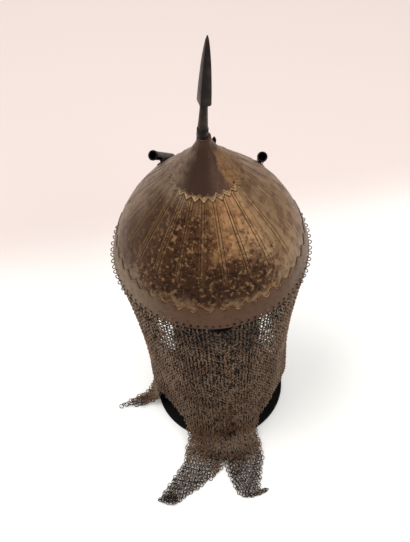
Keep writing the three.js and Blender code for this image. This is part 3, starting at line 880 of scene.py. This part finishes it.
# Spike
def crown_spike(settings):
    """A turned neck and a four-sided blade, bridged from square to square and set leaning on the cone."""
    bm = bmesh.new()
    turned(bm, [(0, NECK[0][0])] + [(r, h) for h, r in NECK] + [(0, NECK[-1][0])], ROUND_STEPS)
    turn = Matrix.Rotation(math.radians(BLADE_TURN), 4, "Z")
    loops = []
    for h, r in BLADE:
        ends = h in (BLADE[0][0], BLADE[-1][0])
        ring = bmesh.ops.create_circle(
            bm, cap_ends=ends, segments=4, radius=r, matrix=Matrix.Translation((0, 0, h)) @ turn
        )
        loops.append({edge for vert in ring["verts"] for edge in vert.link_edges})
    corners = []
    for low, high in zip(loops, loops[1:]):
        bridge = bmesh.ops.bridge_loops(bm, edges=list(low | high))
        corners += bridge["edges"]
    rounded(bm, corners, EDGE_BEVEL)
    bmesh.ops.recalc_face_normals(bm, faces=bm.faces)
    lean = Matrix.Rotation(math.radians(SPIKE_LEAN), 4, "Y")
    bmesh.ops.transform(
        bm, matrix=Matrix.Translation((SPIKE_SIDE, 0, RIM_Z + SPIKE_FOOT_H)) @ lean, verts=bm.verts
    )
    return settled(bm, "crown_spike", shared(dark_finish, settings), "spike", sharp=28)


# Plume tubes
def bowl_slopes(azimuth, h, step=SLOPE_STEP):
    """A place on the bowl, with its slopes along the height and the azimuth."""
    here = on_helmet(azimuth, bowl_radius(h), h)
    up = (on_helmet(azimuth, bowl_radius(h + step), h + step) - here) / step
    around = (on_helmet(azimuth + step, bowl_radius(h), h) - here) / step
    return here, up, around


def seat_below(point):
    """The place on the bowl that a point stands straight over, and the direction from there to it."""
    azimuth = math.atan2(point.x, -point.y / OVAL)
    h = point.z - RIM_Z
    for _ in range(SEAT_ROUNDS):
        here, up, around = bowl_slopes(azimuth, h)
        away = point - here
        h += away.dot(up) / up.length_squared
        azimuth += away.dot(around) / around.length_squared
    return here, away


def plume_tube(settings, node, mouth, foot):
    """An open tube with a lip, on a post and a round plate that stand straight on the bowl."""
    low = Vector(foot) + Vector((0, 0, RIM_Z))
    high = Vector(mouth) + Vector((0, 0, RIM_Z))
    axis = high - low
    reach = axis.length
    lip = PLUME_RADIUS + PLUME_LIP
    profile = [
        (0, 0), (PLUME_FOOT - 0.6, 0), (PLUME_FOOT, 0.6), (PLUME_RADIUS, reach - 3), (lip - 0.2, reach - 2.4),
        (lip, reach - 1.8), (lip, reach - 0.5), (lip - 0.4, reach), (PLUME_BORE + 0.3, reach),
        (PLUME_BORE, reach - 0.3), (PLUME_FOOT_BORE, PLUME_FLOOR), (0, PLUME_FLOOR),
    ]
    bm = bmesh.new()
    turned(bm, profile, ROUND_STEPS)
    bmesh.ops.transform(bm, matrix=laid(axis, low), verts=bm.verts)
    here, away = seat_below(low.lerp(high, PLUME_SEAT))
    base = here + away.normalized() * PLUME_PLATE_GAP
    post_length = away.length - PLUME_PLATE_GAP - PLUME_BORE
    discs = ((PLUME_PLATE, PLUME_PLATE_THICK, ROUND_STEPS), (PLUME_POST, post_length, PLUME_POST_STEPS))
    for radius, thick, sides in discs:
        place = laid(away, base + away.normalized() * thick / 2)
        disc = bmesh.ops.create_cone(
            bm, cap_ends=True, segments=sides, radius1=radius, radius2=radius, depth=thick, matrix=place
        )
        rims = {edge for vert in disc["verts"] for edge in vert.link_edges}
        rims = [edge for edge in rims if any(len(face.verts) > 4 for face in edge.link_faces)]
        rounded(bm, rims, EDGE_BEVEL)
    name = node.replace("plume_tube", "plume_holder")
    return settled(bm, name, shared(dark_finish, settings), node)


# Nose guard
def nose_guard(settings):
    """A flat outline with a leaf at each end, given its thickness and set leaning in the loop."""
    bm = bmesh.new()
    low, high = NASAL_TIPS
    right = [bm.verts.new((x, 0, z)) for x, z in NASAL_SIDE]
    left = [bm.verts.new((-x, 0, z)) for x, z in reversed(NASAL_SIDE)]
    bm.faces.new([bm.verts.new((0, 0, low))] + right + [bm.verts.new((0, 0, high))] + left)
    rounded(bm, right + left, NASAL_ROUND, segments=4, affect="VERTICES")
    back = bmesh.ops.extrude_face_region(bm, geom=list(bm.faces))
    moved = [item for item in back["geom"] if isinstance(item, bmesh.types.BMVert)]
    bmesh.ops.translate(bm, vec=(0, NASAL_THICK, 0), verts=moved)
    bmesh.ops.translate(bm, vec=(0, -NASAL_THICK / 2, 0), verts=bm.verts)
    bmesh.ops.recalc_face_normals(bm, faces=bm.faces)
    rounded(bm, [edge for edge in bm.edges if edge.calc_face_angle(0) > NASAL_SHARP], NASAL_EDGE)
    lean = Matrix.Rotation(math.radians(NASAL_LEAN), 4, "Y")
    bmesh.ops.transform(bm, matrix=Matrix.Translation(NASAL_CENTRE) @ lean, verts=bm.verts)
    finish = shared(dark_finish, settings)
    return settled(bm, "nose_guard", finish, "nasal_bar", body="nasal", sharp=30)


# Mail
def polars(azimuth, radius, z):
    return np.stack([radius * np.sin(azimuth), -radius * np.cos(azimuth), z + 0 * azimuth], axis=-1)


def smooths(value, low, high):
    t = np.clip((value - low) / (high - low), 0, 1)
    return t * t * (3 - 2 * t)


def mail_radius(azimuth, z):
    """How far the hanging sheet stands from the axis."""
    rise = np.clip((z - MAIL_FLARE_FROM) / (RIM_Z - MAIL_FLARE_FROM), 0, 1)
    side = MAIL_SIDE + MAIL_FLARE * rise**MAIL_FLARE_POWER
    up = np.clip(z / RIM_Z, 0, 1)
    back = MAIL_BACK + MAIL_BACK_FLARE * up**MAIL_BACK_POWER
    flat = MAIL_FLAT * (1 - up) * np.sin(2 * azimuth) ** 2
    fold = MAIL_FOLD_DEPTH * (1 - up) * np.sin(MAIL_FOLDS * azimuth)
    return side * np.sin(azimuth) ** 2 + back * np.cos(azimuth) ** 2 - flat + fold


def mail_top(azimuth):
    """The height of the sheet's upper edge, with its sag at the back."""
    off = np.abs(azimuth - math.radians(MAIL_SAG_AT)) / math.radians(MAIL_SAG_HALF)
    return MAIL_TOP - MAIL_SAG * (1 - smooths(off, 0, 1))


def mail_heading(azimuth, run):
    """The direction that a dag takes on the floor, at lengths past the bend."""
    curl = DAG_CURL * smooths(run, DAG_CURL_FROM, DAG_CURL_TO)
    side = np.radians(np.where(azimuth < 0, DAG_LEFT, DAG_RIGHT + curl))
    turned_by = np.where(np.abs(azimuth) > math.radians(DAG_ARC), 0, smooths(run, 0, DAG_TURN))
    return azimuth + (side - azimuth) * turned_by


def fold_depth(azimuth):
    """How deep the fold at the root of the dags is, from 0 to 1."""
    at, depth = np.radians([row[0] for row in FOLD_MASK]), [row[1] for row in FOLD_MASK]
    return np.interp(azimuth, at, depth)


def fold_shape(part):
    """How far the fold leads out and up, at parts of its run."""
    return FOLD_BACK * np.sin(2 * np.pi * part), FOLD_RISE * np.sin(np.pi * part**FOLD_LEAN) ** 2


def fold_places(run, depth):
    """Where lengths of crowded mail end along the run of the fold, for its depths there."""
    part = np.linspace(0, 1, FOLD_SAMPLES)
    out, rise = fold_shape(part)
    depth = np.round(depth, 1)
    placed = np.array(run)
    for level in np.unique(depth):
        strides = np.hypot(np.diff(out * level + FOLD_RUN * part), np.diff(rise * level))
        walked = np.concatenate([[0], np.cumsum(strides)]) * FOLD_CROWD
        here = depth == level
        inside = np.interp(run[here], walked, part * FOLD_RUN)
        placed[here] = np.where(run[here] < walked[-1], inside, run[here] - walked[-1] + FOLD_RUN)
    return placed


def mail_point(azimuth, down):
    """The points at lengths down the curtain, measured from its upper edge."""
    top = mail_top(azimuth)
    hang = top - BEND_Z
    z = np.maximum(top - down, BEND_Z)
    turn = np.clip((down - hang) / MAIL_BEND, 0, math.pi / 2)
    out = mail_radius(azimuth, z) + MAIL_BEND * (1 - np.cos(turn))
    floor = down - hang - BEND_LENGTH
    fold = np.clip((floor + FOLD_AHEAD) / FOLD_RUN, 0, 1)
    folded = fold_depth(azimuth)
    ahead, rise = fold_shape(fold)
    out = out + ahead * folded
    height = z - MAIL_BEND * np.sin(turn) + rise * folded
    height = height + MAIL_LIFT * smooths(floor, -BEND_LENGTH, 0)
    lying = np.maximum(floor, 0)
    over = np.where(azimuth < 0, lying, 0) - TIP_FOLD
    height = height + TIP_RISE * smooths(over, *TIP_RUN)
    lying = lying - 2 * np.maximum(over, 0)
    points = polars(azimuth, out, height)
    for i in range(DAG_STEPS):
        heading = mail_heading(azimuth, lying * (i + 0.5) / DAG_STEPS)
        points += polars(heading, lying / DAG_STEPS, 0)
    return points


def hem_length(azimuth):
    """The length of the curtain at an azimuth."""
    hanging = np.array(HEM_HEIGHTS, float)
    lying = np.array(HEM_LYING, float)
    at = np.radians(np.concatenate([hanging[:, 0], lying[:, 0]]))
    lengths = mail_top(at) + np.concatenate([-hanging[:, 1], BEND_LENGTH - BEND_Z + lying[:, 1]])
    order = np.argsort(at)
    return np.interp(azimuth, at[order], lengths[order])


def unit(vectors):
    return vectors / np.linalg.norm(vectors, axis=-1, keepdims=True)


def mail_frames(azimuth, down):
    """Axes round the curtain, down it and out of it, for each ring, and the length of a radian there."""
    along = unit(mail_point(azimuth, down + SLOPE_STEP) - mail_point(azimuth, down - SLOPE_STEP))
    around = mail_point(azimuth + SLOPE_STEP, down) - mail_point(azimuth - SLOPE_STEP, down)
    out = unit(np.cross(along, around))
    spread = np.linalg.norm(around, axis=-1) / (2 * SLOPE_STEP)
    return np.stack([np.cross(out, along), along, out], axis=-1), spread


def turns(angle, axis):
    """Rotation matrices by angles about one of the axes."""
    first, second = [i for i in range(3) if i != axis]
    matrices = np.tile(np.eye(3), (len(angle), 1, 1))
    sign = -1 if axis == 1 else 1
    matrices[:, first, first] = matrices[:, second, second] = np.cos(angle)
    matrices[:, second, first] = np.sin(angle) * sign
    matrices[:, first, second] = -np.sin(angle) * sign
    return matrices


def ring_template(settings):
    """One ring about the Z axis."""
    bm = bmesh.new()
    circle = bmesh.ops.create_circle(
        bm, segments=settings.wire_sides, radius=settings.wire / 2,
        matrix=Matrix.Translation((settings.ring_radius, 0, 0)) @ Matrix.Rotation(math.pi / 2, 4, "X"),
    )
    edges = list({edge for vert in circle["verts"] for edge in vert.link_edges})
    bmesh.ops.spin(
        bm, geom=circle["verts"] + edges, cent=(0, 0, 0), axis=(0, 0, 1), angle=2 * math.pi,
        steps=settings.ring_sides, use_merge=True,
    )
    bmesh.ops.remove_doubles(bm, verts=bm.verts, dist=1e-7)
    bmesh.ops.recalc_face_normals(bm, faces=bm.faces)
    bm.verts.index_update()
    verts = np.array([vert.co for vert in bm.verts])
    faces = np.array([[vert.index for vert in face.verts] for face in bm.faces])
    bm.free()
    return verts, faces


def ring_field(name, settings, template, places, frames, out, tone):
    """Rings at places in millimetres, joined in one piece, each with its tone and a painted shade on its
    inner side.
    """
    verts, faces = template
    points = np.einsum("nij,vj->nvi", frames, verts)
    # Painted shade: the parts of a ring below the sheet's middle get a darker tone.
    depth = np.einsum("nvi,ni->nv", points, out) / settings.ring_radius
    points += places[:, None, :] * MM
    corners = faces[None] + (np.arange(len(places)) * len(verts))[:, None, None]
    mesh = bpy.data.meshes.new(name)
    mesh.from_pydata(points.reshape(-1, 3), [], corners.reshape(-1, faces.shape[1]))
    tones = mesh.attributes.new("tone", "FLOAT", "POINT")
    tones.data.foreach_set("value", (tone[:, None] - depth * MAIL_INNER_SHADE).ravel())
    return dressed(mesh, name, shared(ring_finish, settings), "mail", sharp=180)


def ring_rows(settings, lengths, column_pitch, radius):
    """Azimuth, length, row parity and column pitch of the rings of some rows of the curtain."""
    span = math.radians(MAIL_SPAN)
    columns = int(2 * span * radius / column_pitch)
    column, row = np.meshgrid(np.arange(columns), np.arange(len(lengths)))
    column, row = column.ravel(), row.ravel()
    odd = row % 2
    azimuth = -span + (column + 0.25 + 0.5 * odd) / columns * 2 * span
    down = np.array(lengths)[row]
    dip = np.maximum(1 - np.abs(azimuth - math.radians(MAIL_DIP_AT)) / math.radians(MAIL_DIP_HALF), 0)
    down += MAIL_DIP * dip * smooths(down, *MAIL_DIP_BEGIN) * (1 - smooths(down, *MAIL_DIP_END))
    fold = mail_top(azimuth) - BEND_Z + BEND_LENGTH - FOLD_AHEAD
    down = np.where(down > fold, fold + fold_places(down - fold, fold_depth(azimuth)), down)
    middle = np.radians(np.where(azimuth < 0, *DAG_MIDDLES))
    gather = DAG_GATHER * smooths(down - fold, *DAG_GATHER_RUN) * (np.abs(azimuth) < math.radians(DAG_ARC))
    azimuth += (middle - azimuth) * gather
    kept = down + settings.row_pitch / MM / 2 < hem_length(azimuth)
    return azimuth[kept], down[kept], odd[kept], np.full(kept.sum(), 2 * span / columns)


def mail_rings(settings):
    """All rings of the curtain, in pieces side by side round the helmet."""
    random = np.random.default_rng(SEED)
    hanging = np.arange(FIRST_ROW, HANG, settings.row_pitch / MM)
    bending = np.arange(hanging[-1] + settings.bend_pitch / MM, LAID, settings.bend_pitch / MM)
    lying = np.arange(bending[-1] + settings.dag_pitch / MM, LONGEST, settings.dag_pitch / MM)
    fields = (
        ring_rows(settings, hanging, settings.column_pitch / MM, mail_radius(0.0, MAIL_TOP)),
        ring_rows(settings, np.concatenate([bending, lying]), settings.dag_column_pitch / MM, DAG_RADIUS),
    )
    azimuth, down, odd, pitch = (np.concatenate(parts) for parts in zip(*fields))
    sign = 1 - 2 * odd
    loose = random.normal(0, settings.loose, (2, len(azimuth)))
    shift = random.normal(0, settings.scatter / MM, (len(azimuth), 3)) * SCATTER_AXES
    tone = random.uniform(0, TONE_RANGE, len(azimuth))
    frames, spread = mail_frames(azimuth, down)
    out = frames[:, :, 2]
    flattest, steepest = np.cos(np.radians(RING_ROLLS))
    roll = np.arccos(np.clip(pitch * spread * MM / 2 / settings.ring_radius, steepest, flattest))
    places = mail_point(azimuth, down) + np.einsum("nij,nj->ni", frames, shift)
    frames = frames @ turns(sign * roll + loose[0] * ROLL_LOOSER, 1) @ turns(loose[1], 0)
    flat = smooths(down, *ROOT_END)
    root = smooths(down, *ROOT_BEGIN) * (1 - flat)
    tone += DAG_SHADE * flat
    frames *= (1 + ROOT_SWELL * root)[:, None, None]
    template = ring_template(settings)
    span = math.radians(MAIL_SPAN)
    sector = np.clip(((azimuth + span) / (2 * span) * MAIL_PIECES).astype(int), 0, MAIL_PIECES - 1)
    for i in range(MAIL_PIECES):
        inside = sector == i
        name = f"mail_rings_{i + 1}"
        ring_field(name, settings, template, places[inside], frames[inside], out[inside], tone[inside])


def rim_links(settings, holes):
    """Rings through the holes of the band that hold up the first row."""
    random = np.random.default_rng(SEED + 1)
    azimuth = (np.arange(holes) + (BAND_HOLE_COLUMN + 0.5) / BAND_HOLE_COLUMNS) / holes * 2 * math.pi
    azimuth = np.where(azimuth > math.pi, azimuth - 2 * math.pi, azimuth)
    torn = np.abs(azimuth - math.radians(MAIL_SAG_AT)) < math.radians(MAIL_SAG_HALF * RIM_LINKS_TORN)
    azimuth = azimuth[(np.abs(azimuth) < math.radians(MAIL_SPAN)) & ~torn]
    places = polars(azimuth, bowl_radius(0) + GAP + BAND_THICK / 2, RIM_Z)
    places[:, 1] *= OVAL
    flat = np.array([[0, 0, 1], [0, 1, 0], [-1, 0, 0]], float)
    out = unit(polars(azimuth, 1.0, 0.0))
    up = np.tile([0.0, 0.0, 1.0], (len(azimuth), 1))
    axes = np.stack([np.cross(up, out), up, out], axis=-1)
    loose = random.normal(0, settings.loose * RIM_LINK_LOOSER, len(azimuth))
    frames = axes @ turns(loose, 1) @ flat
    tone = random.uniform(0, TONE_RANGE, len(azimuth))
    verts, faces = ring_template(settings)
    ring_field("rim_links", settings, (verts * RIM_LINK_SCALE, faces), places, frames, out, tone)


# Stand
def head_centre():
    """The height at which the rounded top touches the bowl."""
    heights = range(int(BOWL_FOOT), int(BOWL_FOOT) + HEAD_SEARCH)
    centre = 0.0
    while min(math.hypot(bowl_radius(h) - BOWL_WALL, h - centre) for h in heights) - HEAD_RADIUS > GAP:
        centre += HEAD_STEP
    return RIM_Z + centre - HEAD_STEP


def turned_stand(settings):
    centre = head_centre()
    arc = [math.radians(angle) for angle in HEAD_ARC]
    head = [(HEAD_RADIUS * math.cos(turn), centre + HEAD_RADIUS * math.sin(turn)) for turn in arc]
    bm = bmesh.new()
    turned(bm, list(STAND) + head + [(0, centre + HEAD_RADIUS)], STAND_STEPS)
    return settled(bm, "turned_stand", shared(stand_finish, settings), "stand")


# Stage
def soft_light(name, place, size, power):
    """A round area light that points at the object."""
    light = bpy.data.lights.new(name, "AREA")
    light.shape = "DISK"
    light.size = size
    light.energy = power
    lamp = bpy.data.objects.new(name, light)
    lamp.location = place
    lamp.rotation_euler = (Vector(LIGHT_TARGET) - Vector(place)).to_track_quat("-Z", "Y").to_euler()
    bpy.context.scene.collection.objects.link(lamp)


def photo_camera(settings):
    """A camera behind and above the helmet, slightly rolled."""
    camera = bpy.data.cameras.new("camera")
    camera.sensor_fit = "VERTICAL"
    camera.sensor_height = CAMERA_SENSOR
    camera.lens = settings.lens
    camera.clip_start = CAMERA_CLIP
    pitch, roll = math.radians(CAMERA_PITCH), math.radians(CAMERA_ROLL)
    forward = Vector((0, math.cos(pitch), -math.sin(pitch)))
    level = Vector((1, 0, 0))
    upright = Vector((0, math.sin(pitch), math.cos(pitch)))
    right = level * math.cos(roll) - upright * math.sin(roll)
    up = upright * math.cos(roll) + level * math.sin(roll)
    view = bpy.data.objects.new("camera", camera)
    turn = Matrix((right, up, -forward)).transposed().to_4x4()
    view.matrix_world = Matrix.Translation(CAMERA_PLACE) @ turn
    bpy.context.scene.collection.objects.link(view)
    bpy.context.scene.camera = view


class HelmetOperator:
    """What the building steps share."""

    bl_options = {"REGISTER", "UNDO"}


class HELMET_OT_bowl(HelmetOperator, bpy.types.Operator):
    """Build the bowl with its paired lines"""

    bl_idname = "helmet.bowl"
    bl_label = "Bowl"

    def execute(self, context):
        bowl_wall(context.scene.helmet)
        return {"FINISHED"}


class HELMET_OT_rim(HelmetOperator, bpy.types.Operator):
    """Build the scalloped band with its row of holes"""

    bl_idname = "helmet.rim"
    bl_label = "Rim band"

    def execute(self, context):
        rim_strip(context.scene.helmet)
        return {"FINISHED"}


class HELMET_OT_crown(HelmetOperator, bpy.types.Operator):
    """Build the zigzag collar and the cone over it"""

    bl_idname = "helmet.crown"
    bl_label = "Crown"

    def execute(self, context):
        crown_collar(context.scene.helmet)
        crown_cone(context.scene.helmet)
        return {"FINISHED"}


class HELMET_OT_spike(HelmetOperator, bpy.types.Operator):
    """Build the spike"""

    bl_idname = "helmet.spike"
    bl_label = "Spike"

    def execute(self, context):
        crown_spike(context.scene.helmet)
        return {"FINISHED"}


class HELMET_OT_plumes(HelmetOperator, bpy.types.Operator):
    """Build the two plume tubes"""

    bl_idname = "helmet.plumes"
    bl_label = "Plume tubes"

    def execute(self, context):
        for node, (mouth, foot) in PLUMES.items():
            plume_tube(context.scene.helmet, node, mouth, foot)
        return {"FINISHED"}


class HELMET_OT_nasal(HelmetOperator, bpy.types.Operator):
    """Build the sliding nose guard and finish its loop"""

    bl_idname = "helmet.nasal"
    bl_label = "Nose guard"

    def execute(self, context):
        settings = context.scene.helmet
        nose_guard(settings)
        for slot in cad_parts["nasal_bracket"].material_slots:
            slot.link = "OBJECT"
            slot.material = shared(dark_finish, settings)
        return {"FINISHED"}


class HELMET_OT_mail(HelmetOperator, bpy.types.Operator):
    """Build the mail curtain, ring by ring"""

    bl_idname = "helmet.mail"
    bl_label = "Mail"

    def execute(self, context):
        mail_rings(context.scene.helmet_mail)
        rim_links(context.scene.helmet_mail, context.scene.helmet.rim_holes)
        return {"FINISHED"}


class HELMET_OT_stand(HelmetOperator, bpy.types.Operator):
    """Build the turned stand"""

    bl_idname = "helmet.stand"
    bl_label = "Stand"

    def execute(self, context):
        turned_stand(context.scene.helmet_stage)
        return {"FINISHED"}


class HELMET_OT_stage(HelmetOperator, bpy.types.Operator):
    """Set up the floor, the lights and the camera"""

    bl_idname = "helmet.stage"
    bl_label = "Stage"

    def execute(self, context):
        settings = context.scene.helmet_stage
        bm = bmesh.new()
        level = Matrix.Translation((0, 0, FLOOR_Z))
        bmesh.ops.create_grid(bm, x_segments=1, y_segments=1, size=FLOOR_HALF, matrix=level)
        mesh = bpy.data.meshes.new("floor")
        bm.to_mesh(mesh)
        bm.free()
        mesh.materials.append(shared(pale_floor, settings))
        floor = bpy.data.objects.new("floor", mesh)
        context.scene.collection.objects.link(floor)
        world = bpy.data.worlds.new("surround")
        world.use_nodes = True
        surround = world.node_tree.nodes["Background"].inputs
        surround["Color"].default_value = SURROUND
        surround["Strength"].default_value = settings.sky
        context.scene.world = world
        soft_light("key_light", KEY_PLACE, KEY_SIZE, settings.key)
        soft_light("fill_light", FILL_PLACE, FILL_SIZE, settings.fill)
        photo_camera(settings)
        context.scene.view_settings.view_transform = "Standard"
        return {"FINISHED"}


OPERATORS = (
    HELMET_OT_bowl, HELMET_OT_rim, HELMET_OT_crown, HELMET_OT_spike, HELMET_OT_plumes, HELMET_OT_nasal,
    HELMET_OT_mail, HELMET_OT_stand, HELMET_OT_stage,
)


class HELMET_PT_build(bpy.types.Panel):
    """Building steps and settings of the helmet"""

    bl_idname = "HELMET_PT_build"
    bl_label = "Helmet"
    bl_space_type = "VIEW_3D"
    bl_region_type = "UI"
    bl_category = "Helmet"

    def draw(self, context):
        for group in (context.scene.helmet, context.scene.helmet_mail, context.scene.helmet_stage):
            box = self.layout.box()
            for name in group.bl_rna.properties.keys():
                if name not in {"rna_type", "name"}:
                    box.prop(group, name)
        for operator in OPERATORS:
            self.layout.operator(operator.bl_idname)


GROUPS = {"helmet": HelmetSettings, "helmet_mail": MailSettings, "helmet_stage": StageSettings}
CLASSES = (*GROUPS.values(), *OPERATORS, HELMET_PT_build)


def register():
    for cls in CLASSES:
        bpy.utils.register_class(cls)
    for name, group in GROUPS.items():
        setattr(bpy.types.Scene, name, bpy.props.PointerProperty(type=group))


def unregister():
    for name in GROUPS:
        delattr(bpy.types.Scene, name)
    for cls in reversed(CLASSES):
        bpy.utils.unregister_class(cls)


def main():
    register()
    bpy.ops.helmet.bowl()
    bpy.ops.helmet.rim()
    bpy.ops.helmet.crown()
    bpy.ops.helmet.spike()
    bpy.ops.helmet.plumes()
    bpy.ops.helmet.nasal()
    bpy.ops.helmet.mail()
    bpy.ops.helmet.stand()
    bpy.ops.helmet.stage()


if __name__ == "__main__":
    main()
